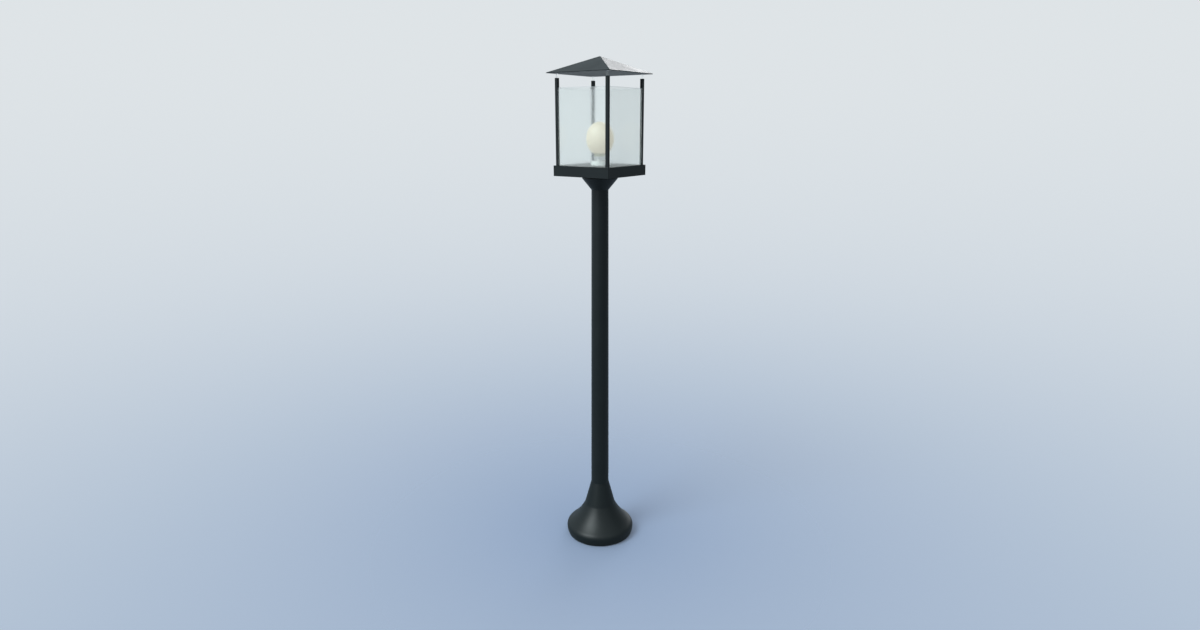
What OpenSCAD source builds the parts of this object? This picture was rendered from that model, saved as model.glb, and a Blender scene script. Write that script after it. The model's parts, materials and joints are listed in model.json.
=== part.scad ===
// Lantern floor lamp: a four-post glazed lantern on a slim tapered pole with a
// trumpet-shaped weighted foot. All sizes are millimetres. +Z is up, Z = 0 is
// the floor, the pole stands on the Z axis, and -Y is the lantern's front.

/* [Foot] */
// Height of the trumpet-shaped bell above the floor
bell_h = 145; // [135:1:170]
// Radius of the bell at its bottom rim
bell_rim_r = 83.7; // [80:0.1:90]
// How much further out the bell's shoulder stands than its rim
bell_flare = 3.2; // [1:0.1:6]
// Height of the bell's widest place
bell_widest_z = 19; // [17:0.5:23]
// Radius where the bell's curve meets its conical neck
bell_kink_r = 38.9; // [37:0.1:43]
// Height of that place
bell_kink_z = 85; // [80:1:95]
// Thickness of the bell's wall, measured level
bell_wall = 3; // [2.5:0.1:4]
// Thickness of the steel plate that closes the bell
plate_t = 5; // [4:0.5:7]
// Outer radius of the cast weight
ballast_r = 50; // [46:0.5:51]
// Height of the cast weight
ballast_h = 40; // [30:1:44]
// Middle radius of the rubber ring that the lamp stands on
foot_ring_r = 71; // [68:0.5:72]
// Width of the rubber ring
foot_ring_w = 12; // [8:0.5:13]
// Thickness of the rubber ring
foot_ring_t = 3; // [2.5:0.1:4]
// Height of the cord's inlet above the floor
inlet_z = 15; // [14.5:0.1:17]
// Diameter of the flexible cord that the inlet takes
cord_d = 7.5; // [6:0.1:8]

/* [Pole] */
// Length of the pole between the bell and the collar
pole_len = 757; // [300:1:1000]
// Outer diameter of the pole at its foot
pole_d_bottom = 45.2; // [44:0.1:48]
// Outer diameter of the pole at its top
pole_d_top = 40.5; // [39:0.1:44]
// Thickness of the pole's wall
pole_wall = 2.5; // [2:0.1:3]
// How far the spigot reaches up inside the pole
spigot_reach = 90; // [60:1:140]
// Thickness of the spigot's wall
spigot_wall = 2.5; // [2:0.1:3]
// Diameter of the sheathed cable inside the pole
cable_d = 6; // [5:0.1:7]

/* [Collar] */
// Height of the funnel-shaped collar
collar_h = 28.5; // [24:0.5:40]
// Diameter of the collar at its top
collar_d = 84; // [76:0.5:100]
// Height of the upright edge round the collar's top
collar_rim = 2; // [1:0.1:4]
// Diameter of the spacer between the collar and the tray
spacer_d = 60; // [40:1:70]
// Thickness of that spacer
spacer_t = 4.5; // [3:0.1:8]

/* [Tray] */
// Outside width of the square tray
tray_w = 155; // [152:0.5:160]
// Height of the tray
tray_h = 24; // [22:0.5:32]
// Thickness of the tray's sides
tray_wall = 3; // [2:0.1:3.2]
// Thickness of the tray's deck
deck_t = 5; // [4.5:0.1:7]
// Thickness of the cover under the tray
cover_t = 2; // [1.8:0.1:3]
// Radius of the tray's upright corners
tray_corner_r = 1.2; // [0.5:0.1:3]

/* [Posts and glass] */
// Width of each square corner post
post_w = 7; // [6.5:0.1:8]
// Length of each post above the deck
post_len = 193; // [140:1:260]
// Distance between the middles of two neighbouring posts
post_pitch = 139; // [136:0.5:141]
// Thickness of a glass pane
glass_t = 3; // [2.5:0.1:3.2]
// How far the panes' top edge lies below the top of the posts
glass_drop = 21; // [14:0.5:40]
// Depth of the groove in a post that holds a pane's edge
post_groove = 1.2; // [0.9:0.1:1.3]
// Thickness of the rubber under and beside a pane's foot
seal_t = 0.6; // [0.5:0.1:0.8]
// Depth of the deck's groove under a pane
deck_groove = 3.5; // [2.5:0.1:4]

/* [Roof] */
// Outside width of the square roof
roof_w = 174; // [172:0.5:200]
// Height of the roof from its eaves to its point
roof_rise = 38; // [37:0.5:70]
// Thickness of the roof's sheet
roof_sheet = 1.5; // [1:0.1:1.6]
// Clear height between the posts and the roof
roof_gap = 10; // [8:0.5:20]
// Diameter of the studs that the roof stands on
stud_d = 3.8; // [3.4:0.1:4]

/* [Lamp] */
// Widest diameter of the bulb
bulb_d = 62.6; // [50:0.2:80]
// Height of the bulb's round glass
bulb_glass_h = 73; // [60:0.5:90]
// Height of the glass neck between that and the metal cap
bulb_neck_h = 5.2; // [2:0.1:12]
// Diameter of the porcelain lampholder
holder_d = 41; // [38:0.5:46]
// How far the porcelain stands above the deck
holder_rise = 10; // [10:0.5:20]

/* [Hidden] */
$fn = 96;

// Clearances
fit_gap = 0.3;      // between pieces that are slipped together
screw_gap = 0.1;    // round a screw's shank and head
pin_gap = 0.07;     // round the studs' ends in the roof's bushes
seal_gap = 0.1;     // between a pane and the rubber beside it
past = 1;           // how far a cutter runs past the face that it opens
thread_spare = 2;   // left under the end of a screw in a blind hole

// Heights, from the floor up
foot_proud = foot_ring_t / 2;
plate_z = foot_proud;
plate_top = plate_z + plate_t;
ballast_top = plate_top + ballast_h;
pole_z = bell_h;
collar_z = pole_z + pole_len;
spacer_z = collar_z + collar_h;
tray_z = spacer_z + spacer_t;
deck_z = tray_z + tray_h;
post_top = deck_z + post_len;
glass_top = post_top - glass_drop;
eave_z = post_top + roof_gap;
holder_top = deck_z + holder_rise;

// Radii along the pole
pole_r0 = pole_d_bottom / 2;
pole_r1 = pole_d_top / 2;
function pole_r(z) = pole_r0 + (pole_r1 - pole_r0) * (z - pole_z) / pole_len;

// The bell's neck stands a little proud of the pole
neck_lip = 0.2;
neck_r = pole_r0 + neck_lip;
rim_round = 2;
shoulder_drop = 6.1;    // from the widest place in to the start of the curve
shoulder_rise = 12.4;
curve_sag = 3.9;        // how far the curve is hollowed from a straight line

// Screws: shank radius, head radius and head height
M3 = [1.5, 2.8, 1.7];
M4 = [2.0, 3.6, 2.5];
M5 = [2.5, 4.6, 2.6];
M6 = [3.0, 5.6, 3.1];
recess_share = 0.87;    // width of the drive recess as a share of the head's radius

// Spigot
spigot_r = pole_r(pole_z + spigot_reach) - pole_wall - fit_gap;
spigot_top = pole_z + spigot_reach;
spigot_flange_r = 32;
spigot_flange_t = 5;

// Where the three kinds of screws stand in the base plate
spigot_screw_r = 26.5;
ballast_screw_r = 40;
pillar_screw_r = 58;
pillar_r = 4.8;
pillar_depth = 16;
odd_angles = [30, 150, 270];
even_angles = [90, 210, 330];
rear_angles = [60, 120];

// The bell's side under its widest place is a round arc
side_rise = bell_widest_z - foot_proud - rim_round;
side_r = (side_rise * side_rise + bell_flare * bell_flare) / (2 * bell_flare);

// Inlet with its grommet
inlet_wall_r = bell_rim_r + bell_flare - side_r
             + sqrt(side_r * side_r - (bell_widest_z - inlet_z) * (bell_widest_z - inlet_z));
grommet_wall = 1.7;
grommet_lip = 1.5;      // how far its flanges stand out past its neck
inlet_neck_r = cord_d / 2 + grommet_wall;
inlet_flange_r = inlet_neck_r + grommet_lip;
inlet_flange_t = 1.4;
inlet_seat = 1.5;       // depth of the flat seat cut in the bell's curve
inlet_back = bell_wall + 0.1;   // depth of the flat seat behind the wall

// Terminal block and cable
block = [26, 12, 13];
block_y = 30;
block_bores = [-8, 0, 8];
wire_bore_r = 1.6;
wire_bore_depth = 4;
block_screw_reach = 8;  // into the weight
clamp_screw_drop = 1;   // below the block's top
slot_w = 0.6;
slot_depth = 0.8;
cable_z = ballast_top + block.z / 2;
cable_lead = 6;         // straight run out of the block before the bend
cable_bend = block_y - cable_lead;
cable_r = cable_d / 2;
window_margin = 1.5;
window_rise = 5;        // room above the cable where it bends
window = [cable_d + 2 * window_margin, cable_d + window_margin + window_rise];

// Earth screw, with the radius and thickness of its tag and its washer
earth_at = [-42, 42];
earth_tag = [4.5, 1];
earth_washer = [3.6, 1.4];
earth_stack = earth_tag[1] + earth_washer[1];
earth_screw_short = 0.5;

// Collar, threaded tube and its nuts
hub_r = pole_r1 - pole_wall - fit_gap;
hub_len = 40;
hub_bore_r = 12;
collar_top_t = 5.5;
collar_skin = 3;
collar_shelf = 4;       // solid left at the top of the hub's bore and inside the rim
tube_r = 5;
tube_bore_r = 4;
nut_af = 17;
nut_t = 5;
washer_r = 12;
washer_t = 1.5;
tube_tail = 8;          // thread that stands out under the collar's top
set_screw_drop = 18;    // from the pole's end to its set screws
set_screw_sink = 0.8;   // below the pole's surface
hex_key = 2;

// Tray, cover and posts
corner = post_pitch / 2;
cover_w = tray_w - 2 * tray_wall - 2 * fit_gap;
boss_r = 4.2;
boss_inset = 10.5;      // from the middle of a post to the middle of a boss
boss_at = corner - boss_inset;
boss_blind = 2;         // left solid between a boss's hole and the deck
cover_screw_len = 12;
post_screw_depth = 10;
pane_end = corner - post_w / 2 + post_groove - fit_gap;
groove_w = glass_t + 2 * seal_t + 2 * seal_gap;
groove_play = 0.2;
groove_end = pane_end + groove_play;
pane_foot = deck_z - deck_groove + seal_t;
slot_play = 0.2;        // between a pane and each side of its slot in a post
post_slot = glass_t + 2 * slot_play;
side_angles = [0, 90, 180, 270];

// Lampholder, from the bracket up
bracket_z = tray_z + cover_t + washer_t + nut_t;
bracket_t = 2;
bracket_inset = 0.5;
bracket_r = holder_d / 2 - bracket_inset;
holder_z = bracket_z + bracket_t;
holder_r = holder_d / 2;
holder_well = 19.5;     // depth of the well that takes the cap
holder_floor = holder_top - holder_well;
floor_t = 2.5;
cavity_r = 10;
holder_screw_hole = 6;
shell_r = 13.7;         // inside of the brass screw shell
shell_t = 0.5;
shell_h = 16;
well_r = shell_r + shell_t + screw_gap;
holder_screw_x = (well_r + holder_r) / 2;
shell_drop = 1;         // from the porcelain's top to the screw shell's
strip_t = 0.6;          // contact strips
strip_w = 4;
strip_lap = 0.8;        // how far a strip reaches past the middle of its core
tongue_x = 8;           // where the tongue stands up
tongue_tip = 3;         // how far it reaches past the lamp's axis
core_r = 0.9;
core_x = 1.8;
tube_stub = 0.8;        // thread that stands out above the bracket
tube_top = holder_z + tube_stub;

// Bulb: a common 27 mm screw cap, 27 mm from the tip to the glass
cap_sink = 17;          // how far the cap reaches down into the holder
seat_z = holder_top - cap_sink;
contact_play = 0.2;
cap_r = 13.3;
cap_h = 27;
cap_pitch = 3.6;
cap_wave = 0.45;
cap_wall = 0.6;
cap_base_z = 4.5;
cap_base_r = 10;        // inside of the cap's turned-in foot
cap_skirt_z = 22.5;
cap_plain = 1;          // plain length at each end of the cap's thread
tip_r = 3.5;            // contact at the cap's foot
tip_gap = 0.1;
insulator_foot_r = 4.6;
insulator_r = 11;
insulator_dish = 0.9;   // depth of the dish round the contact
glass_wall = 1;
glass_sink = 4;         // how far the glass reaches down into its cap
glass_start = -66;      // where the ellipse starts, in degrees
bulb_z = seat_z + cap_h;

// Studs and bushes
stud_r = stud_d / 2;
pin_r = 1.5;
stud_thread = 8;
roof_slope = (roof_rise - roof_sheet) / (roof_w / 2);
roof_skin = roof_sheet / sin(atan(roof_slope));     // the sheet's thickness, measured level
bush_r = 3.6;
bush_top_t = 0.5;
bush_gap = 0.9;         // between a bush's outer edge and the roof's sheet above it
bush_h = roof_sheet + (roof_w / 2 - roof_skin - corner - bush_r) * roof_slope - bush_gap;
pin_len = bush_h - bush_top_t - fit_gap;

black = "#262d30";
steel = "#b9bcc0";
brass = "#c9a227";
frost = [0.82, 0.89, 0.90, 0.45];
clear = [0.93, 0.96, 0.97, 0.35];

// ---------------------------------------------------------------- helpers

// Points on a round arc from p to q that swells by sag to the left of the line
function arc_points(p, q, sag, n) =
    let (d = q - p, c = norm(d), left = [-d.y, d.x] / c,
         big_r = (c * c / 4 + sag * sag) / (2 * abs(sag)), half = asin(c / 2 / big_r))
    [for (i = [0:n]) let (a = (2 * i / n - 1) * half)
        (p + q) / 2 + big_r * sin(a) * d / c
        + sign(sag) * big_r * (cos(a) - cos(half)) * left];

// The same for an arc that bulges out and stands upright at the wider of its two ends
function upright_arc(p, q, n) =
    let (lean = atan(abs(q.x - p.x) / (q.y - p.y)))
    arc_points(p, q, -norm(q - p) / 2 * tan(lean / 2), n);

// A tube along Z from z0 to z1
module tube(r_out, r_in, z0, z1) {
    translate([0, 0, z0]) difference() {
        cylinder(r = r_out, h = z1 - z0);
        translate([0, 0, -past]) cylinder(r = r_in, h = z1 - z0 + 2 * past);
    }
}

// A round bar along Z from z0 to z1
module bar(r, z0, z1) translate([0, 0, z0]) cylinder(r = r, h = z1 - z0);

// Copies at an angle and a radius round the Z axis
module around(r, angles) for (a = angles) rotate([0, 0, a]) translate([r, 0, 0]) children();

// Copies at the four corners of a square
module at_corners(d) for (x = [-d, d], y = [-d, d]) translate([x, y, 0]) children();

// A countersunk screw pointing up, its head flush with z = 0, and its hole
module flat_screw(m, len, slack = 0) {
    head_r = m[1] + slack;
    cylinder(r = m[0] + slack, h = len);
    cylinder(r1 = head_r, r2 = m[0] + slack, h = m[2]);
}

module flat_screw_hole(m, len) {
    flat_screw(m, len, screw_gap);
    translate([0, 0, -past]) cylinder(r = m[1] + screw_gap, h = past);
}

// A screw with a round head below z = 0 and its shank above
module round_screw(m, len) {
    cylinder(r = m[0], h = len);
    translate([0, 0, -m[2]]) cylinder(r = m[1], h = m[2]);
}

// A cross-shaped drive recess that opens downwards at z = 0
module cross_recess(m) {
    size = recess_share * m[1];
    for (a = [0, 90]) rotate([0, 0, a])
        translate([-size / 2, -size / 8, -past]) cube([size, size / 4, past + size / 4]);
}

// A headless set screw along +X from r0 to r1, with a hexagon socket
module set_screw(r0, r1) {
    rotate([0, 90, 0]) difference() {
        bar(M4[0], r0, r1);
        translate([0, 0, r1 - hex_key]) cylinder(d = hex_key, h = hex_key + past, $fn = 6);
    }
}

module hex_nut(z) {
    translate([0, 0, z]) difference() {
        cylinder(d = nut_af / cos(30), h = nut_t, $fn = 6);
        translate([0, 0, -past]) cylinder(r = tube_r + screw_gap / 2, h = nut_t + 2 * past);
    }
}

// A square with round corners, and an upright block of it
module round_square(w, r) {
    square([w - 2 * r, w], center = true);
    square([w, w - 2 * r], center = true);
    for (x = [-1, 1], y = [-1, 1]) translate([x, y] * (w / 2 - r)) circle(r);
}

module square_block(w, r, z0, z1) translate([0, 0, z0]) linear_extrude(z1 - z0) round_square(w, r);

// A pyramid on a square base of half width b, rising at the roof's slope
module pyramid(b, z) {
    translate([0, 0, z]) rotate([0, 0, 45])
        cylinder(r1 = b * sqrt(2), r2 = 0, h = b * roof_slope, $fn = 4);
}

// ------------------------------------------------------------------- foot

// The bell's widest place, drawn in by the wall
function bell_widest(wall) = [bell_rim_r + bell_flare - wall, bell_widest_z];

// The bell's outline from its widest place to its neck, drawn in by the wall
function bell_curve(wall) =
    let (wide = bell_widest(wall),
         start = wide + [-shoulder_drop, shoulder_rise],
         kink = [bell_kink_r - wall, bell_kink_z])
    concat(upright_arc(wide, start, 8),
           [for (i = [1:14]) arc_points(start, kink, curve_sag, 14)[i]]);

module bell_outside() {
    rim_top = [bell_rim_r, foot_proud + rim_round];
    rim = arc_points([bell_rim_r - rim_round, foot_proud], rim_top, -0.29 * rim_round, 4);
    side = upright_arc(rim_top, bell_widest(0), 6);
    rotate_extrude() polygon(concat(
        [[0, foot_proud]], rim, [for (i = [1:5]) side[i]], bell_curve(0),
        [[neck_r, bell_h], [0, bell_h]]));
}

module bell_cavity() {
    r0 = bell_rim_r - bell_wall;
    rotate_extrude() polygon(concat(
        [[0, foot_proud - past], [r0, foot_proud - past], [r0, plate_top]],
        bell_curve(bell_wall),
        [[spigot_r + fit_gap, bell_h], [spigot_r + fit_gap, bell_h + past],
         [0, bell_h + past]]));
}

module inlet_axis() translate([0, inlet_wall_r, inlet_z]) rotate([-90, 0, 0]) children();

module base_bell() {
    color(black) difference() {
        bell_outside();
        difference() {
            bell_cavity();
            around(pillar_screw_r, odd_angles) bar(pillar_r, plate_top, bell_h);
        }
        around(pillar_screw_r, odd_angles)
            bar(M5[0] + screw_gap, plate_top - past, plate_top + pillar_depth);
        inlet_axis() {
            bar(inlet_neck_r + screw_gap, -4 * bell_wall, past);
            bar(inlet_flange_r + screw_gap, -inlet_seat, past);
            bar(inlet_flange_r + screw_gap, -4 * bell_wall, -inlet_back);
        }
    }
}

module base_plate() {
    color("#4a4d50") difference() {
        bar(bell_rim_r - bell_wall - fit_gap, plate_z, plate_top);
        tube(foot_ring_r + foot_ring_w / 2 + screw_gap,
             foot_ring_r - foot_ring_w / 2 - screw_gap, plate_z - past, foot_ring_t);
        translate([0, 0, plate_z]) {
            around(spigot_screw_r, odd_angles) flat_screw_hole(M4, plate_t + past);
            around(ballast_screw_r, even_angles) flat_screw_hole(M6, plate_t + past);
            around(pillar_screw_r, odd_angles) flat_screw_hole(M5, plate_t + past);
        }
        translate([earth_at.x, earth_at.y, 0])
            bar(M4[0] + screw_gap, plate_z - past, plate_top + past);
    }
}

module foot_ring() {
    color("#151515")
        tube(foot_ring_r + foot_ring_w / 2, foot_ring_r - foot_ring_w / 2, 0, foot_ring_t);
}

module ballast() {
    color("#3b3d3f") difference() {
        tube(ballast_r, spigot_r + fit_gap, plate_top, ballast_top);
        bar(spigot_flange_r + fit_gap, plate_top - past, plate_top + spigot_flange_t);
        around(ballast_screw_r, even_angles)
            bar(M6[0] + screw_gap, plate_top - past, plate_top + pillar_depth);
        translate([0, block_y + block.y / 2, 0])
            bar(M3[0] + screw_gap, ballast_top - block_screw_reach - thread_spare,
                ballast_top + past);
    }
}

module ballast_screws() {
    color(steel) around(ballast_screw_r, even_angles) translate([0, 0, plate_z])
        difference() {
            flat_screw(M6, plate_t + pillar_depth - thread_spare);
            cross_recess(M6);
        }
}

module bell_screws() {
    color(steel) around(pillar_screw_r, odd_angles) translate([0, 0, plate_z])
        difference() {
            flat_screw(M5, plate_t + pillar_depth - thread_spare);
            cross_recess(M5);
        }
}

module spigot_screws() {
    color(steel) around(spigot_screw_r, odd_angles) translate([0, 0, plate_z])
        difference() {
            flat_screw(M4, plate_t + spigot_flange_t - 1);
            cross_recess(M4);
        }
}

module pole_spigot() {
    color("#8b8f92") difference() {
        union() {
            bar(spigot_flange_r, plate_top, plate_top + spigot_flange_t);
            bar(spigot_r, plate_top, spigot_top);
        }
        bar(spigot_r - spigot_wall, plate_top - past, spigot_top + past);
        around(spigot_screw_r, odd_angles)
            bar(M4[0] + screw_gap, plate_top - past, plate_top + spigot_flange_t + past);
        translate([-window.x / 2, 0, cable_z - cable_r - window_margin])
            cube([window.x, spigot_r + past, window.y]);
        set_screw_holes(spigot_r, spigot_wall, pole_z + set_screw_drop);
    }
}

// Radial holes at the rear for set screws, through a wall whose outside is at r
module set_screw_holes(r, wall, z) {
    around(0, rear_angles) translate([0, 0, z]) rotate([0, 90, 0])
        bar(M4[0] + screw_gap, r - wall - 2 * past, r + past);
}

module cord_grommet() {
    color("#101010") inlet_axis() difference() {
        union() {
            bar(inlet_neck_r, -inlet_back, -inlet_seat);
            bar(inlet_flange_r, -inlet_seat, inlet_flange_t - inlet_seat);
            bar(inlet_flange_r, -inlet_back - inlet_flange_t, -inlet_back);
        }
        bar(cord_d / 2, -inlet_back - inlet_flange_t - past, inlet_flange_t + past);
    }
}

// Terminal block on the weight, with its screws and the cable to the lantern
module terminal_block() {
    color("#e9e6dc") translate([0, block_y, ballast_top]) difference() {
        translate([-block.x / 2, 0, 0]) cube(block);
        for (x = block_bores) translate([x, 0, 0]) {
            translate([0, -past, block.z / 2]) rotate([-90, 0, 0])
                cylinder(r = wire_bore_r, h = wire_bore_depth + past);
            translate([0, block.y + past, block.z / 2]) rotate([90, 0, 0])
                cylinder(r = wire_bore_r, h = wire_bore_depth + past);
            if (x != 0) translate([0, block.y / 2, block.z / 2])
                cylinder(r = M3[0] + screw_gap, h = block.z);
        }
        translate([0, block.y / 2, -past])
            cylinder(r = M3[0] + screw_gap, h = block.z + 2 * past);
    }
}

module terminal_screws() {
    color(brass) translate([0, block_y + block.y / 2, ballast_top]) {
        for (x = block_bores) if (x != 0) translate([x, 0, block.z / 2])
            difference() {
                cylinder(r = M3[0], h = block.z / 2 - clamp_screw_drop);
                translate([-M3[0] - past, -slot_w / 2,
                           block.z / 2 - clamp_screw_drop - slot_depth])
                    cube([2 * (M3[0] + past), slot_w, slot_depth + past]);
            }
        translate([0, 0, block.z]) rotate([180, 0, 0])
            difference() {
                round_screw(M3, block.z + block_screw_reach);
                translate([0, 0, -M3[2]]) cross_recess(M3);
            }
    }
}

module earth_screw() {
    len = earth_stack + plate_t - earth_screw_short;
    color(brass) translate([earth_at.x, earth_at.y, plate_top]) {
        difference() {
            translate([0, 0, earth_stack]) rotate([180, 0, 0]) round_screw(M4, len);
            translate([0, 0, earth_stack + M4[2]]) rotate([180, 0, 0]) cross_recess(M4);
        }
        tube(earth_tag[0], M4[0] + screw_gap, 0, earth_tag[1]);
        tube(earth_washer[0], M4[0] + screw_gap, earth_tag[1], earth_stack);
    }
}

module inner_cable() {
    color("#2c2c2c") {
        translate([0, block_y, cable_z]) rotate([90, 0, 0])
            cylinder(r = cable_r, h = block_y - cable_bend);
        translate([0, cable_bend, cable_z + cable_bend]) rotate([90, 0, 90])
            rotate([0, 0, 180]) rotate_extrude(angle = 90)
                translate([cable_bend, 0]) circle(cable_r);
        bar(cable_r, cable_z + cable_bend, tube_top);
    }
}

// ------------------------------------------------------------------- pole

module pole_tube() {
    color(black) difference() {
        rotate_extrude() polygon([
            [pole_r0 - pole_wall, pole_z], [pole_r0, pole_z],
            [pole_r1, collar_z], [pole_r1 - pole_wall, collar_z]]);
        set_screw_holes(pole_r0, pole_wall, pole_z + set_screw_drop);
        set_screw_holes(pole_r1, pole_wall, collar_z - set_screw_drop);
    }
}

module pole_set_screws() {
    z = pole_z + set_screw_drop;
    color(steel) around(0, rear_angles) translate([0, 0, z])
        set_screw(spigot_r - spigot_wall, pole_r(z) - set_screw_sink);
}

// ----------------------------------------------------------------- collar

module collar() {
    top_r = collar_d / 2;
    in_top = top_r - collar_skin - collar_shelf;
    color(black) difference() {
        rotate_extrude() polygon([
            [hub_bore_r, collar_z - hub_len], [hub_r, collar_z - hub_len],
            [hub_r, collar_z], [pole_r1, collar_z],
            [top_r, spacer_z - collar_rim], [top_r, spacer_z],
            [tube_r + screw_gap / 2, spacer_z],
            [tube_r + screw_gap / 2, spacer_z - collar_top_t],
            [in_top, spacer_z - collar_top_t], [hub_bore_r, collar_z + collar_shelf]]);
        set_screw_holes(hub_r, hub_r - hub_bore_r, collar_z - set_screw_drop);
    }
}

module collar_set_screws() {
    z = collar_z - set_screw_drop;
    color(steel) around(0, rear_angles) translate([0, 0, z])
        set_screw(hub_bore_r, pole_r(z) - set_screw_sink);
}

module collar_spacer() color(black) tube(spacer_d / 2, tube_r + screw_gap / 2, spacer_z, tray_z);

module threaded_tube() {
    color(steel) tube(tube_r, tube_bore_r, spacer_z - collar_top_t - tube_tail, tube_top);
}

module tube_nuts() {
    color(steel) {
        hex_nut(spacer_z - collar_top_t - nut_t);
        hex_nut(tray_z + cover_t + washer_t);
    }
}

module tube_washer() {
    color(steel) tube(washer_r, tube_r + screw_gap, tray_z + cover_t, tray_z + cover_t + washer_t);
}

// ------------------------------------------------------------------- tray

// One groove's outline along X at the front, and copies on all four sides
module on_side(a) rotate([0, 0, a]) translate([0, -corner, 0]) children();

module tray_shell() {
    color(black) difference() {
        square_block(tray_w, tray_corner_r, tray_z, deck_z);
        difference() {
            translate([0, 0, (tray_z - past + deck_z - deck_t) / 2])
                cube([tray_w - 2 * tray_wall, tray_w - 2 * tray_wall,
                      tray_h - deck_t + past], center = true);
            at_corners(boss_at) bar(boss_r, tray_z + cover_t, deck_z);
        }
        at_corners(boss_at)
            bar(M3[0] + screw_gap, tray_z + cover_t - past, deck_z - deck_t - boss_blind);
        at_corners(corner) bar(M3[0] + screw_gap, deck_z - deck_t - past, deck_z + past);
        bar(holder_r + 0.8, deck_z - deck_t - past, deck_z + past);
        for (a = side_angles) on_side(a)
            translate([-groove_end, -groove_w / 2, deck_z - deck_groove])
                cube([2 * groove_end, groove_w, deck_groove + past]);
    }
}

module tray_cover() {
    color(black) difference() {
        square_block(cover_w, tray_corner_r, tray_z, tray_z + cover_t);
        bar(tube_r + screw_gap, tray_z - past, tray_z + cover_t + past);
        at_corners(boss_at) translate([0, 0, tray_z]) flat_screw_hole(M3, cover_t + past);
    }
}

module cover_screws() {
    color(steel) at_corners(boss_at) translate([0, 0, tray_z]) difference() {
        flat_screw(M3, cover_screw_len);
        cross_recess(M3);
    }
}

// A square post with a groove on each of its two inner faces
module corner_post(sx, sy) {
    reach = post_groove + past;
    inner = post_w / 2 - post_groove;
    color(black) translate([sx * corner, sy * corner, deck_z]) to_corner(sx, sy) difference() {
        translate([-post_w / 2, -post_w / 2, 0]) cube([post_w, post_w, post_len]);
        translate([-inner - reach, -post_slot / 2, -past])
            cube([reach, post_slot, post_len + 2 * past]);
        translate([-post_slot / 2, -inner - reach, -past])
            cube([post_slot, reach, post_len + 2 * past]);
        bar(M3[0] + screw_gap, -past, post_screw_depth);
        bar(pin_r + screw_gap, post_len - stud_thread, post_len + past);
    }
}

// Mirrors a piece drawn for the rear right corner to the corner named by signs
module to_corner(sx, sy) {
    mirror([sx < 0 ? 1 : 0, 0, 0]) mirror([0, sy < 0 ? 1 : 0, 0]) children();
}

module post_screws() {
    color(steel) at_corners(corner) translate([0, 0, deck_z - deck_t]) difference() {
        round_screw(M3, deck_t + post_screw_depth - thread_spare);
        translate([0, 0, -M3[2]]) cross_recess(M3);
    }
}

// A rubber channel in the deck's groove
module seal(a) {
    w = groove_w - 2 * seal_gap;
    slot = glass_t + 2 * seal_gap;
    color("#202020") on_side(a) difference() {
        translate([-pane_end, -w / 2, deck_z - deck_groove])
            cube([2 * pane_end, w, deck_groove]);
        translate([-pane_end - past, -slot / 2, pane_foot])
            cube([2 * pane_end + 2 * past, slot, deck_groove]);
    }
}

module pane(a) {
    color(frost) on_side(a) translate([-pane_end, -glass_t / 2, pane_foot])
        cube([2 * pane_end, glass_t, glass_top - pane_foot]);
}

// ------------------------------------------------------------- lampholder

module holder_bracket() {
    color(steel) difference() {
        tube(bracket_r, tube_r + screw_gap / 2, bracket_z, holder_z);
        for (x = [-1, 1]) translate([x * holder_screw_x, 0, 0])
            bar(M3[0] + screw_gap, bracket_z - past, holder_z + past);
    }
}

module holder_screws() {
    color(steel) for (x = [-1, 1]) translate([x * holder_screw_x, 0, bracket_z])
        difference() {
            round_screw(M3, bracket_t + holder_screw_hole - thread_spare / 2);
            translate([0, 0, -M3[2]]) cross_recess(M3);
        }
}

module lampholder() {
    color("#f4f2ec") difference() {
        bar(holder_r, holder_z, holder_top);
        bar(well_r, holder_floor, holder_top + past);
        bar(cavity_r, holder_z - past, holder_floor - floor_t);
        for (x = [-1, 1]) {
            translate([x * holder_screw_x, 0, 0])
                bar(M3[0] + screw_gap, holder_z - past, holder_z + holder_screw_hole);
            translate([x * core_x, 0, 0])
                bar(core_r + screw_gap, holder_floor - floor_t - past, holder_floor + past);
        }
    }
}

module screw_shell() {
    top = holder_top - shell_drop;
    lap_x = core_x - strip_lap;
    color(brass) {
        tube(shell_r + shell_t, shell_r, top - shell_h, top);
        translate([shell_r, -strip_w / 2, holder_floor])
            cube([shell_t / 2, strip_w, top - shell_h - holder_floor + past]);
        translate([lap_x, -strip_w / 2, holder_floor])
            cube([shell_r - lap_x + shell_t / 2, strip_w, strip_t]);
    }
}

module centre_contact() {
    top = seat_z - contact_play;
    color(brass) translate([-tongue_x, -strip_w / 2, 0]) {
        translate([0, 0, holder_floor]) cube([tongue_x - core_x + strip_lap, strip_w, strip_t]);
        translate([0, 0, holder_floor]) cube([strip_t, strip_w, top - holder_floor]);
        translate([0, 0, top - strip_t]) cube([tongue_x + tongue_tip, strip_w, strip_t]);
    }
}

module core_wires() {
    color("#7a4a2a") translate([-core_x, 0, 0]) bar(core_r, tube_top, holder_floor);
    color("#2a4f8a") translate([core_x, 0, 0]) bar(core_r, tube_top, holder_floor);
}

// ------------------------------------------------------------------- bulb

cap_steps = 32;

function cap_outline(r) = [for (i = [0:cap_steps])
    let (z = cap_base_z + cap_plain + (cap_skirt_z - cap_base_z - 2 * cap_plain) * i / cap_steps)
    [r - cap_wave + cap_wave * cos(360 * z / cap_pitch), z]];

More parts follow.
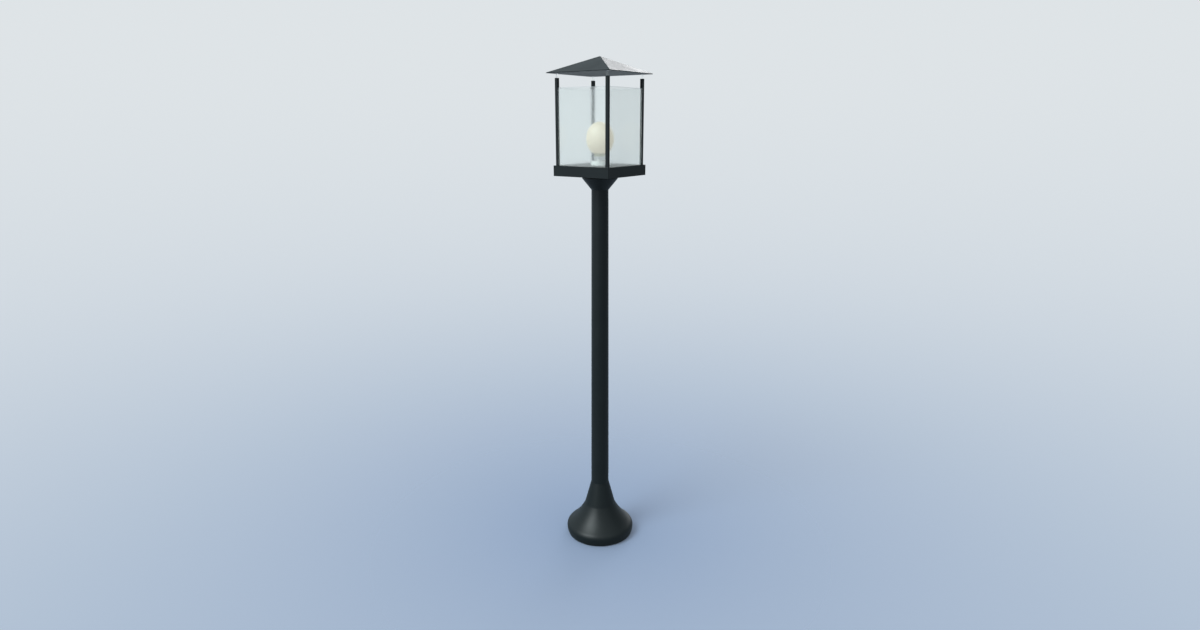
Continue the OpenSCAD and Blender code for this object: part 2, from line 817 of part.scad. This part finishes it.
module bulb_cap() {
    r_in = cap_r - 2 * cap_wave - cap_wall;
    color("#c8cacb") translate([0, 0, seat_z]) rotate_extrude() polygon(concat(
        [[cap_base_r, cap_base_z], [cap_r - 2 * cap_wave, cap_base_z]],
        cap_outline(cap_r),
        [[cap_r, cap_skirt_z], [cap_r, cap_h], [cap_r - cap_wall, cap_h],
         [cap_r - cap_wall, cap_skirt_z], [r_in, cap_skirt_z],
         [r_in, cap_base_z + cap_wall], [cap_base_r, cap_base_z + cap_wall]]));
}

module bulb_insulator() {
    color("#1a1a1a") translate([0, 0, seat_z]) difference() {
        cylinder(r1 = insulator_foot_r, r2 = insulator_r, h = cap_base_z);
        bar(tip_r + tip_gap, -past, cap_base_z + past);
        cylinder(r1 = insulator_foot_r + insulator_dish, r2 = 0, h = insulator_dish);
    }
}

module bulb_contact() color(brass) bar(tip_r, seat_z, seat_z + cap_base_z);

module bulb_glass() {
    a = bulb_d / 2;
    b = bulb_glass_h / (1 - sin(glass_start));
    mid = bulb_z + bulb_neck_h + bulb_glass_h - b;
    neck = cap_r - cap_wall - screw_gap;
    steps = 22;
    function side(t) = [for (i = [0:steps])
        let (u = glass_start + (90 - glass_start) * i / steps)
        [(a - t) * cos(u), mid + (b - t) * sin(u)]];
    inner = side(glass_wall);
    color("#f3e6c4") rotate_extrude() polygon(concat(
        [[neck, bulb_z - glass_sink], [neck, bulb_z]], side(0),
        [for (i = [steps:-1:0]) inner[i]],
        [[neck - glass_wall, bulb_z + bulb_neck_h],
         [neck - glass_wall, bulb_z - glass_sink]]));
}

// ------------------------------------------------------------------- roof

module roof_studs() {
    color(clear) at_corners(corner) {
        bar(stud_r, post_top, eave_z);
        bar(pin_r, post_top - stud_thread + thread_spare / 2, post_top);
        bar(pin_r, eave_z, eave_z + pin_len);
    }
}

module roof_shell() {
    half = roof_w / 2;
    color(black) difference() {
        union() {
            translate([-half, -half, eave_z]) cube([roof_w, roof_w, roof_sheet]);
            pyramid(half, eave_z + roof_sheet);
        }
        translate([-half + roof_sheet, -half + roof_sheet, eave_z - past])
            cube([roof_w - 2 * roof_sheet, roof_w - 2 * roof_sheet, roof_sheet + past]);
        pyramid(half - roof_skin, eave_z + roof_sheet);
    }
}

module roof_ceiling() {
    w = roof_w - 2 * roof_sheet - fit_gap;
    color("#3a4043") difference() {
        translate([-w / 2, -w / 2, eave_z]) cube([w, w, roof_sheet]);
        at_corners(corner) bar(bush_r + screw_gap, eave_z - past, eave_z + roof_sheet + past);
    }
}

module roof_bushes() {
    color(steel) at_corners(corner) difference() {
        bar(bush_r, eave_z, eave_z + bush_h);
        bar(pin_r + pin_gap, eave_z - past, eave_z + bush_h - bush_top_t);
    }
}

foot_ring();
base_plate();
ballast();
ballast_screws();
base_bell();
bell_screws();
cord_grommet();
pole_spigot();
spigot_screws();
terminal_block();
terminal_screws();
earth_screw();
inner_cable();
pole_tube();
pole_set_screws();
collar();
collar_set_screws();
collar_spacer();
threaded_tube();
tube_nuts();
tube_washer();
tray_shell();
tray_cover();
cover_screws();
corner_post(-1, -1);  // post_front_left
corner_post(1, -1);  // post_front_right
corner_post(-1, 1);  // post_rear_left
corner_post(1, 1);  // post_rear_right
post_screws();
seal(0);  // seal_front
seal(90);  // seal_right
seal(180);  // seal_rear
seal(270);  // seal_left
pane(0);  // pane_front
pane(90);  // pane_right
pane(180);  // pane_rear
pane(270);  // pane_left
holder_bracket();
holder_screws();
lampholder();
screw_shell();
centre_contact();
core_wires();
bulb_cap();
bulb_insulator();
bulb_contact();
bulb_glass();
roof_studs();
roof_shell();
roof_ceiling();
roof_bushes();
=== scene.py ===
"""Lantern floor lamp: the finishes, the fine edges and the glass of the CAD model.

Every length is in metres, in the CAD model's own frame: +Z up, Z = 0 the floor, the
pole on the Z axis and -Y the lantern's front.
"""
import json
import math

import bmesh
import bpy
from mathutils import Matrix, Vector


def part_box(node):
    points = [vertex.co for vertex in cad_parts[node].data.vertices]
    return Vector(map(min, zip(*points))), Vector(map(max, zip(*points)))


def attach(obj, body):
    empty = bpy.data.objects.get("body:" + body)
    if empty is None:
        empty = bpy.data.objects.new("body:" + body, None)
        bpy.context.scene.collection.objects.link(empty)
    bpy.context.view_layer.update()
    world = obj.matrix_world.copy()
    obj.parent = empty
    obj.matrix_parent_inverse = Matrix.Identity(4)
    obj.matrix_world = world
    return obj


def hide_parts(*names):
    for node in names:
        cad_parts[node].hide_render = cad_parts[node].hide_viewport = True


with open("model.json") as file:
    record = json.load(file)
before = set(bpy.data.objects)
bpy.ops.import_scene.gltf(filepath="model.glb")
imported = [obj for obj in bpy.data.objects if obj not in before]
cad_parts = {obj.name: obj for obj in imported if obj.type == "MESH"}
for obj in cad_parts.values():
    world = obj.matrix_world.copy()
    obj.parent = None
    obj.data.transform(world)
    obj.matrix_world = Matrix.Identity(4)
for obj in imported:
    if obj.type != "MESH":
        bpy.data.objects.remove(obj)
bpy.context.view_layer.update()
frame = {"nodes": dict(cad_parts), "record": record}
nodes = frame["nodes"]
MM = 0.001

# ------------------------------------------------------------------ camera

# The photo's view: aimed at a point on the pole's axis, turned to the lantern's right
VIEW_TARGET = Vector((0, 0, 0.5957))
VIEW_DISTANCE = 1.779
# In degrees
VIEW_AZIMUTH = 35.38
VIEW_PITCH = 15.0
# In millimetres
VIEW_LENS = 21.60
SENSOR_WIDTH = 36


def direction(azimuth, elevation):
    """Unit vector from the lamp: azimuth 0 is -Y and 90 is +X, both in degrees."""
    a, e = math.radians(azimuth), math.radians(elevation)
    return Vector((math.sin(a) * math.cos(e), -math.cos(a) * math.cos(e), math.sin(e)))


def add_object(name, data):
    """A new object in the scene, for a mesh or a camera."""
    item = bpy.data.objects.new(name, data)
    bpy.context.scene.collection.objects.link(item)
    return item


def make_camera():
    data = bpy.data.cameras.new("camera")
    data.sensor_width = SENSOR_WIDTH
    data.lens = VIEW_LENS
    camera = add_object("camera", data)
    back = direction(VIEW_AZIMUTH, VIEW_PITCH)
    camera.location = VIEW_TARGET + back * VIEW_DISTANCE
    camera.rotation_mode = "QUATERNION"
    camera.rotation_quaternion = (-back).to_track_quat("-Z", "Y")
    bpy.context.scene.camera = camera


# ------------------------------------------------------------- node graphs

class Graph:
    """Short calls that build one tree of shader nodes."""

    def __init__(self, tree):
        self.tree = tree
        tree.nodes.clear()

    def add(self, kind, inputs=(), **settings):
        """A node with its settings; inputs are (socket, value or output) pairs."""
        node = self.tree.nodes.new("ShaderNode" + kind)
        for key, value in settings.items():
            setattr(node, key, value)
        for socket, value in inputs:
            self.set(node, socket, value)
        return node

    def set(self, node, socket, value):
        """Links an output to a node's socket, or writes a plain value in it."""
        if isinstance(value, bpy.types.NodeSocket):
            self.tree.links.new(value, node.inputs[socket])
        else:
            node.inputs[socket].default_value = value

    def math(self, operation, a, b=0.0):
        return self.add("Math", ((0, a), (1, b)), operation=operation).outputs[0]

    def vector(self, operation, a, b):
        """Vector arithmetic; b is the factor for SCALE."""
        pairs = ((0, a), ("Scale" if operation == "SCALE" else 1, b))
        return self.add("VectorMath", pairs, operation=operation).outputs[0]

    def dot(self, a, b):
        pairs = ((0, a), (1, b))
        return self.add("VectorMath", pairs, operation="DOT_PRODUCT").outputs["Value"]

    def ramp(self, value, low, high, to_low=0.0, to_high=1.0, smooth=True):
        """Maps value from low..high to to_low..to_high, held at both ends."""
        kind = "SMOOTHSTEP" if smooth else "LINEAR"
        pairs = ((0, value), (1, low), (2, high), (3, to_low), (4, to_high))
        return self.add("MapRange", pairs, interpolation_type=kind).outputs[0]

    def mix(self, share, a, b):
        """Colour a where share is 0, and b where it is 1."""
        # The node's colours are its sockets 6 and 7, and its output 2
        pairs = ((0, share), (6, a), (7, b))
        return self.add("Mix", pairs, data_type="RGBA").outputs[2]

    def noise(self, point, scale, detail=2.0, roughness=0.5):
        pairs = (("Vector", point), ("Scale", scale), ("Detail", detail),
                 ("Roughness", roughness))
        return self.add("TexNoise", pairs).outputs[0]


def rgb(red, green, blue):
    return (red, green, blue, 1.0)


def shade(colour, factor=1.0):
    """A colour of three parts, made lighter or darker by factor, for a socket."""
    return rgb(*[factor * part for part in colour])


def new_material(name):
    """An empty material and its graph."""
    material = bpy.data.materials.new(name)
    material.use_nodes = True
    return material, Graph(material.node_tree)


# --------------------------------------------------------- light and stage

BACKDROP_LOW = rgb(0.490, 0.580, 0.690)
BACKDROP_HIGH = rgb(0.735, 0.775, 0.800)
# Where the backdrop goes from low to high, as the height of a unit vector
BACKDROP_RISE = (-0.62, 0.12)

FLOOR_COLOUR = rgb(0.198, 0.252, 0.358)
# The floor's colour as it lights the lamp
FLOOR_BOUNCE = rgb(0.165, 0.20, 0.24)
FLOOR_RADIUS = 9.0
FLOOR_CORNERS = 96
# From where to where the floor fades, as it lights the lamp
FLOOR_LIGHT_FADE = (0.9, 3.4)
# The distance over which the floor fades to 37 %, as it is seen
FLOOR_SEEN_FADE = 1.0

# Soft light from all round: brighter above, and brighter on the lamp's left
ROOM_LOW = rgb(0.42, 0.45, 0.49)
ROOM_HIGH = rgb(0.92, 0.96, 0.98)
ROOM_RISE = (-0.7, 0.8)
# Azimuth and elevation of the bright side
ROOM_BRIGHT_SIDE = (-70, 5)
# Factors away from it and toward it, and the cosines between which they change
ROOM_SIDES = (0.56, 1.16)
ROOM_TURN = (-0.8, 0.9)
# The backdrop's share that glossy rays see
GLOSSY_ROOM = (0.62, 0.69, 0.72)

# Soft boxes: azimuth, elevation, angle of full light, angle where it ends, colour
SOFT_BOXES = (
    (-17, 47, 4, 18, (11.0, 12.3, 12.5)),
    (-7, 29, 6, 26, (1.8, 1.98, 2.04)),
    (65, 46, 8, 42, (0.32, 0.35, 0.36)),
    (-163, 17, 5, 19, (6.4, 6.4, 6.5)),
)


def make_world():
    """The soft studio light, and the backdrop that the camera sees."""
    world = bpy.data.worlds.new("studio")
    bpy.context.scene.world = world
    world.use_nodes = True
    g = Graph(world.node_tree)
    toward = g.add("TexCoord").outputs["Generated"]
    up = g.add("SeparateXYZ", ((0, toward),)).outputs[2]
    path = g.add("LightPath").outputs
    backdrop = g.mix(g.ramp(up, *BACKDROP_RISE), BACKDROP_LOW, BACKDROP_HIGH)
    room = g.mix(g.ramp(up, *ROOM_RISE), ROOM_LOW, ROOM_HIGH)
    mirrored = g.vector("MULTIPLY", backdrop, GLOSSY_ROOM)
    light = g.mix(path["Is Glossy Ray"], room, mirrored)
    to_bright_side = g.dot(toward, direction(*ROOM_BRIGHT_SIDE))
    light = g.vector("SCALE", light, g.ramp(to_bright_side, *ROOM_TURN, *ROOM_SIDES))
    for azimuth, elevation, full, end, colour in SOFT_BOXES:
        share = g.ramp(g.dot(toward, direction(azimuth, elevation)),
                       math.cos(math.radians(end)), math.cos(math.radians(full)))
        light = g.vector("ADD", light, g.mix(share, rgb(0, 0, 0), shade(colour)))
    # Rays that light a piece through the glass see the soft boxes, not the backdrop
    direct = g.math("LESS_THAN", path["Diffuse Depth"], 0.5)
    through = g.math("MULTIPLY", path["Is Transmission Ray"], direct)
    seen = g.math("MAXIMUM", path["Is Camera Ray"], through)
    colour = g.mix(seen, light, backdrop)
    shader = g.add("Background", (("Color", colour), ("Strength", 1.0)))
    g.add("OutputWorld", (("Surface", shader.outputs[0]),))


def make_floor():
    """A pale round floor that fades into the backdrop and keeps the lamp's shadow."""
    mesh = bpy.data.meshes.new("floor")
    bm = bmesh.new()
    bmesh.ops.create_circle(bm, cap_ends=True, radius=FLOOR_RADIUS, segments=FLOOR_CORNERS)
    bm.to_mesh(mesh)
    bm.free()
    floor = add_object("floor", mesh)
    material, g = new_material("floor")
    point = g.add("TexCoord").outputs["Object"]
    reach = g.add("VectorMath", ((0, point),), operation="LENGTH").outputs["Value"]
    path = g.add("LightPath").outputs
    seen = g.math("MAXIMUM", path["Is Camera Ray"], path["Is Transmission Ray"])
    lit_fade = g.ramp(reach, *FLOOR_LIGHT_FADE)
    nearness = g.math("EXPONENT", g.math("MULTIPLY", reach, -1 / FLOOR_SEEN_FADE))
    seen_fade = g.math("SUBTRACT", 1.0, nearness)
    change = g.math("MULTIPLY", seen, g.math("SUBTRACT", seen_fade, lit_fade))
    fade = g.math("ADD", lit_fade, change)
    solid = g.add("BsdfDiffuse", (("Color", g.mix(seen, FLOOR_BOUNCE, FLOOR_COLOUR)),))
    clear = g.add("BsdfTransparent")
    shader = g.add("MixShader", ((0, fade), (1, solid.outputs[0]), (2, clear.outputs[0])))
    g.add("OutputMaterial", (("Surface", shader.outputs[0]),))
    mesh.materials.append(material)


# --------------------------------------------------------------- materials

# The range that most of a noise lies in
NOISE_SPAN = (0.2, 0.8)
# How far rubbed paint reaches from an edge
RUB_REACH = 0.8 * MM
# Cosines of the true normal to the softened one, on an open face and on an edge
FACE_TURN, EDGE_TURN = 0.985, 0.86
# The bulb's neck, darkened as painted shade: where that shade ends and where the painted glow is
# full, above its foot
OPAL_NECK_PAINTED_SHADE = (8.5 * MM, 14 * MM)


def principled(name, **values):
    """A material with one Principled shader, its graph and its point in metres."""
    material, g = new_material(name)
    shader = g.add("BsdfPrincipled")
    g.add("OutputMaterial", (("Surface", shader.outputs[0]),))
    for key, value in values.items():
        shader.inputs[key.replace("_", " ")].default_value = value
    point = g.add("TexCoord").outputs["Object"]
    return material, g, shader, point


def bump(g, shader, height, depth, strength):
    node = g.add("Bump", (("Height", height), ("Distance", depth), ("Strength", strength)))
    g.set(shader, "Normal", node.outputs[0])


def edge_mask(g, reach):
    """1 near sharp edges and 0 on open faces, whatever the mesh."""
    soft = g.add("Bevel", (("Radius", reach),), samples=4).outputs[0]
    true = g.add("NewGeometry").outputs["Normal"]
    return g.ramp(g.dot(soft, true), FACE_TURN, EDGE_TURN)


def let_light_in(g, shader, colour):
    """Shadow rays and diffuse rays go straight through, tinted by colour."""
    path = g.add("LightPath").outputs
    straight = g.math("MAXIMUM", path["Is Shadow Ray"], path["Is Diffuse Ray"])
    clear = g.add("BsdfTransparent", (("Color", colour),))
    both = g.add("MixShader", ((0, straight), (1, shader.outputs[0]), (2, clear.outputs[0])))
    output = next(n for n in g.tree.nodes if n.type == "OUTPUT_MATERIAL")
    g.set(output, "Surface", both.outputs[0])


def powder_coat(name, colour, worn, roughness):
    """Satin powder coat: fine orange peel, slow changes of gloss, rubbed edges."""
    material, g, shader, point = principled(name, Specular_IOR_Level=0.34)
    slow = g.noise(point, scale=22, detail=3)
    peel = g.noise(point, scale=1100, roughness=0.55)
    rubs = g.ramp(g.noise(point, scale=90, detail=4), 0.42, 0.7)
    rubbed = g.math("MULTIPLY", edge_mask(g, RUB_REACH), rubs)
    tone = g.mix(slow, shade(colour, 0.85), shade(colour, 1.15))
    g.set(shader, "Base Color", g.mix(rubbed, tone, shade(worn)))
    gloss = g.ramp(slow, 0.25, 0.75, roughness - 0.05, roughness + 0.05, smooth=False)
    g.set(shader, "Roughness", g.math("ADD", gloss, g.math("MULTIPLY", peel, 0.05)))
    bump(g, shader, peel, depth=0.05 * MM, strength=0.35)
    return material


def metal(name, colour, roughness, grain=900, stretch=(1, 1, 1)):
    """Machined or plated metal with a fine grain, which stretch draws out."""
    material, g, shader, point = principled(name, Metallic=1.0)
    drawn = g.vector("MULTIPLY", point, stretch)
    lines = g.noise(drawn, scale=grain, detail=3, roughness=0.6)
    cloud = g.noise(point, scale=60, detail=3)
    g.set(shader, "Base Color", g.mix(cloud, shade(colour, 0.88), shade(colour)))
    g.set(shader, "Roughness", g.ramp(lines, *NOISE_SPAN, roughness - 0.07, roughness + 0.07))
    bump(g, shader, lines, depth=0.01 * MM, strength=0.5)
    return material


def rubber(name, colour, dusty):
    """Matt moulded rubber with a little pale dust."""
    material, g, shader, point = principled(name, Specular_IOR_Level=0.3)
    grain = g.noise(point, scale=1600)
    dust = g.noise(point, scale=70, detail=4)
    g.set(shader, "Base Color", g.mix(g.ramp(dust, 0.45, 0.8), shade(colour), shade(dusty)))
    g.set(shader, "Roughness", g.ramp(dust, *NOISE_SPAN, 0.62, 0.78))
    bump(g, shader, grain, depth=0.03 * MM, strength=0.5)
    return material


def plastic(name, colour, roughness=0.4):
    """Moulded plastic with a fine grain and a slightly uneven gloss."""
    material, g, shader, point = principled(name)
    grain = g.noise(point, scale=1400)
    cloud = g.noise(point, scale=35)
    g.set(shader, "Base Color", g.mix(cloud, shade(colour, 0.93), shade(colour)))
    g.set(shader, "Roughness", g.ramp(cloud, *NOISE_SPAN, roughness - 0.05, roughness + 0.08))
    bump(g, shader, grain, depth=0.02 * MM, strength=0.4)
    return material


def cast_metal(name, colour):
    """Bare cast iron, rough from its sand mould."""
    material, g, shader, point = principled(name, Specular_IOR_Level=0.4)
    sand = g.noise(point, scale=420, detail=5, roughness=0.65)
    cloud = g.noise(point, scale=30, detail=3)
    g.set(shader, "Base Color", g.mix(cloud, shade(colour, 0.7), shade(colour)))
    g.set(shader, "Roughness", g.ramp(sand, 0.3, 0.7, 0.6, 0.8))
    bump(g, shader, sand, depth=0.25 * MM, strength=0.7)
    return material


def porcelain(name):
    """Glazed white ceramic with a faintly wavy glaze."""
    material, g, shader, point = principled(name, Coat_Weight=0.6, Coat_Roughness=0.08)
    cloud = g.noise(point, scale=45, detail=3)
    wave = g.noise(point, scale=160)
    g.set(shader, "Base Color", g.mix(cloud, rgb(0.80, 0.79, 0.75), rgb(0.86, 0.85, 0.82)))
    g.set(shader, "Roughness", g.ramp(cloud, *NOISE_SPAN, 0.16, 0.26))
    bump(g, shader, wave, depth=0.04 * MM, strength=0.5)
    return material


def frosted_glass(name):
    """Lightly etched pane, clear enough to show a slightly blurred bulb."""
    material, g, shader, point = principled(
        name, Transmission_Weight=0.95, IOR=1.5, Specular_IOR_Level=0.4)
    etch = g.noise(point, scale=900, detail=3, roughness=0.6)
    cloud = g.noise(point, scale=14, detail=3)
    g.set(shader, "Base Color", g.mix(cloud, rgb(0.948, 0.972, 0.963), rgb(0.958, 0.982, 0.973)))
    g.set(shader, "Roughness", g.ramp(etch, 0.25, 0.75, 0.09, 0.13))
    bump(g, shader, etch, depth=0.02 * MM, strength=0.3)
    let_light_in(g, shader, rgb(0.93, 0.96, 0.96))
    return material


def glass_edge(name):
    """Ground edge of a pane, greener than its faces."""
    material, g, shader, point = principled(name, Transmission_Weight=0.8, IOR=1.5)
    grind = g.noise(point, scale=700, detail=3)
    g.set(shader, "Base Color", g.mix(grind, rgb(0.72, 0.83, 0.82), rgb(0.79, 0.89, 0.87)))
    g.set(shader, "Roughness", g.ramp(grind, *NOISE_SPAN, 0.25, 0.4))
    bump(g, shader, grind, depth=0.03 * MM, strength=0.5)
    return material


def clear_acrylic(name):
    """Polished clear rod with a few fine rubs along it."""
    material, g, shader, point = principled(name, Transmission_Weight=1.0, IOR=1.49)
    drawn = g.vector("MULTIPLY", point, (1, 1, 0.05))
    rubs = g.noise(drawn, scale=900, detail=3, roughness=0.6)
    g.set(shader, "Base Color", g.mix(rubs, rgb(0.95, 0.97, 0.97), rgb(0.98, 0.99, 0.99)))
    g.set(shader, "Roughness", g.ramp(rubs, 0.3, 0.8, 0.03, 0.09))
    bump(g, shader, rubs, depth=0.01 * MM, strength=0.2)
    let_light_in(g, shader, rgb(0.95, 0.96, 0.96))
    return material


def opal_glass(name):
    """White opal bulb with a painted warm, soft glow; its neck is darker, with painted shade and
    a weaker painted glow.
    """
    # The emission is a painted glow: the bulb stays unlit, and only its colour glows
    material, g, shader, point = principled(
        name, Coat_Weight=0.1, Coat_Roughness=0.5, Emission_Strength=0.41)
    cloud = g.noise(point, scale=30)
    height = g.add("SeparateXYZ", ((0, point),)).outputs[2]
    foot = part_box("bulb_glass")[0].z
    painted_neck_shade_fade = g.ramp(height, foot + OPAL_NECK_PAINTED_SHADE[0], foot + OPAL_NECK_PAINTED_SHADE[1])
    body = g.mix(cloud, rgb(0.36, 0.315, 0.25), rgb(0.40, 0.355, 0.285))
    # Toward the neck, this darker colour and the weaker glow below are painted shade
    neck = g.mix(cloud, rgb(0.18, 0.175, 0.14), rgb(0.21, 0.205, 0.17))
    painted_glow = g.mix(painted_neck_shade_fade, rgb(0.46, 0.48, 0.37), rgb(1.0, 0.93, 0.72))
    g.set(shader, "Base Color", g.mix(painted_neck_shade_fade, neck, body))
    g.set(shader, "Emission Color", painted_glow)
    g.set(shader, "Roughness", g.ramp(cloud, *NOISE_SPAN, 0.50, 0.58))
    bump(g, shader, g.noise(point, scale=500), depth=0.01 * MM, strength=0.3)
    return material


ALONG_Z = (1, 1, 0.04)
# Each material slot of the record: the function that makes it, and what that is given
FINISHES = {
    "black_paint": (powder_coat, (0.0045, 0.0078, 0.0086), (0.026, 0.030, 0.032), 0.39),
    "grey_paint": (powder_coat, (0.224, 0.219, 0.220), (0.250, 0.248, 0.250), 0.66),
    "black_rubber": (rubber, (0.009, 0.009, 0.009), (0.021, 0.021, 0.021)),
    "zinc_steel": (metal, (0.60, 0.62, 0.63), 0.36),
    "bright_steel": (metal, (0.90, 0.90, 0.90), 0.16, 1500, ALONG_Z),
    "cast_iron": (cast_metal, (0.060, 0.061, 0.063)),
    "pale_plastic": (plastic, (0.78, 0.75, 0.66)),
    "brass": (metal, (0.72, 0.50, 0.19), 0.28),
    "cable_sheath": (plastic, (0.022, 0.022, 0.022), 0.5),
    "wire_sleeve": (plastic, (0.17, 0.08, 0.035), 0.45),
    "porcelain": (porcelain,),
    "clear_acrylic": (clear_acrylic,),
    "frosted_glass": (frosted_glass,),
    "opal_glass": (opal_glass,),
    "cap_metal": (metal, (0.66, 0.67, 0.67), 0.30),
    "black_glass": (plastic, (0.010, 0.010, 0.011), 0.12),
}


def make_materials():
    return {slot: make(slot, *given) for slot, (make, *given) in FINISHES.items()}


# ---------------------------------------------------------------- geometry

# Edges that turn more than this are rounded
SHARP = math.radians(28)
ROUNDING_STEPS = 2
# Points closer than this are one, and faces that turn less than this are one flat face
MERGE_REACH = 0.002 * MM
FLAT_TURN = math.radians(0.4)
# Width of a pane's arrised edges
ARRIS = 0.35 * MM
# A pane's face is a broad one if its normal runs this far along the pane's thickness
BROAD_NORMAL = 0.9

SIDES = ("front", "right", "rear", "left")
CORNERS = ("front_left", "front_right", "rear_left", "rear_right")
# Edges rounded on each visible CAD node: its piece's name and the rounding's radius in mm
ROUNDED = (
    ("base_bell", "bell_shell", 0.5),
    ("pole_tube", "pole_shaft", 0.25),
    ("collar", "collar_cone", 0.8),
    ("collar_spacer", "collar_disc", 0.3),
    ("foot_ring", "foot_pad", 0.5),
    ("cord_grommet", "inlet_grommet", 0.35),
    ("tray_shell", "tray_casting", 0.5),
    ("tray_cover", "tray_lid", 0.25),
    *(("post_" + corner, "upright_" + corner, 0.5) for corner in CORNERS),
    ("roof_shell", "roof_sheet", 0.4),
    ("roof_ceiling", "roof_lining", 0.3),
    ("lampholder", "holder_body", 1.0),
    ("bulb_glass", "bulb_envelope", 0.2),
    ("bulb_cap", "bulb_screw_cap", 0.15),
    ("roof_studs", "roof_pillars", 0.2),
    ("base_plate", "foot_plate", 0.3),
)


def body_of(node):
    """The body that a node rides on; root holds what no body names."""
    for body, members in frame["record"]["behaviour"]["bodies"].items():
        if node in members:
            return body
    return "root"


def slot_of(node):
    """A node's material slot, which its material is named after."""
    return nodes[node].data.materials[0].name.split(".")[0]


def merged_copy(node):
    """A CAD node's mesh as one closed surface, with its flat faces made whole."""
    bm = bmesh.new()
    bm.from_mesh(nodes[node].data)
    bmesh.ops.remove_doubles(bm, verts=bm.verts, dist=MERGE_REACH)
    bmesh.ops.dissolve_limit(bm, angle_limit=FLAT_TURN, verts=bm.verts,
                             edges=bm.edges, delimit=set())
    return bm


def bevel(bm, edges, width, steps):
    bmesh.ops.bevel(bm, geom=edges, offset=width, offset_type="OFFSET", segments=steps,
                    profile=0.5, affect="EDGES", clamp_overlap=True)


def finish_piece(bm, name, body, materials):
    """Turns a bmesh into a piece with smooth faces and true flat ones."""
    mesh = bpy.data.meshes.new(name)
    for face in bm.faces:
        face.smooth = True
    for edge in bm.edges:
        edge.smooth = edge.calc_face_angle(0) < SHARP
    bm.to_mesh(mesh)
    bm.free()
    for material in materials:
        mesh.materials.append(material)
    piece = add_object(name, mesh)
    weighted = piece.modifiers.new("weighted", "WEIGHTED_NORMAL")
    weighted.keep_sharp = True
    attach(piece, body)
    return piece


def soften(node, name, width, look):
    """Stands for a CAD node with the same shape, its sharp edges rounded by width."""
    bm = merged_copy(node)
    sharp = [e for e in bm.edges if e.is_manifold and e.calc_face_angle(0) > SHARP]
    bevel(bm, sharp, width, ROUNDING_STEPS)
    slot = slot_of(node)
    piece = finish_piece(bm, name, body_of(node), [look[slot]])
    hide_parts(node)


def make_pane(side, look, edge_look):
    """A pane with arrised edges, whose narrow faces have their own finish."""
    node = "pane_" + side
    low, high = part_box(node)
    thin = 1 if high.y - low.y < high.x - low.x else 0
    bm = merged_copy(node)
    bevel(bm, list(bm.edges), ARRIS, steps=1)
    bm.normal_update()
    for face in bm.faces:
        is_broad = abs(face.normal[thin]) > BROAD_NORMAL
        face.material_index = 0 if is_broad else 1
    piece = finish_piece(bm, "glass_" + side, body_of(node),
                         [look["frosted_glass"], edge_look])
    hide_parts(node)


def dress():
    """Gives every node its finish, and each visible one its fine edges."""
    look = make_materials()
    for node in nodes.values():
        slot = slot_of(node.name)
        for index in range(len(node.data.materials)):
            node.data.materials[index] = look[slot]
    for node, name, radius in ROUNDED:
        soften(node, name, radius * MM, look)
    edge_look = glass_edge("glass_edge")
    for side in SIDES:
        make_pane(side, look, edge_look)


bpy.context.scene.view_settings.view_transform = "Standard"
make_camera()
make_world()
make_floor()
dress()
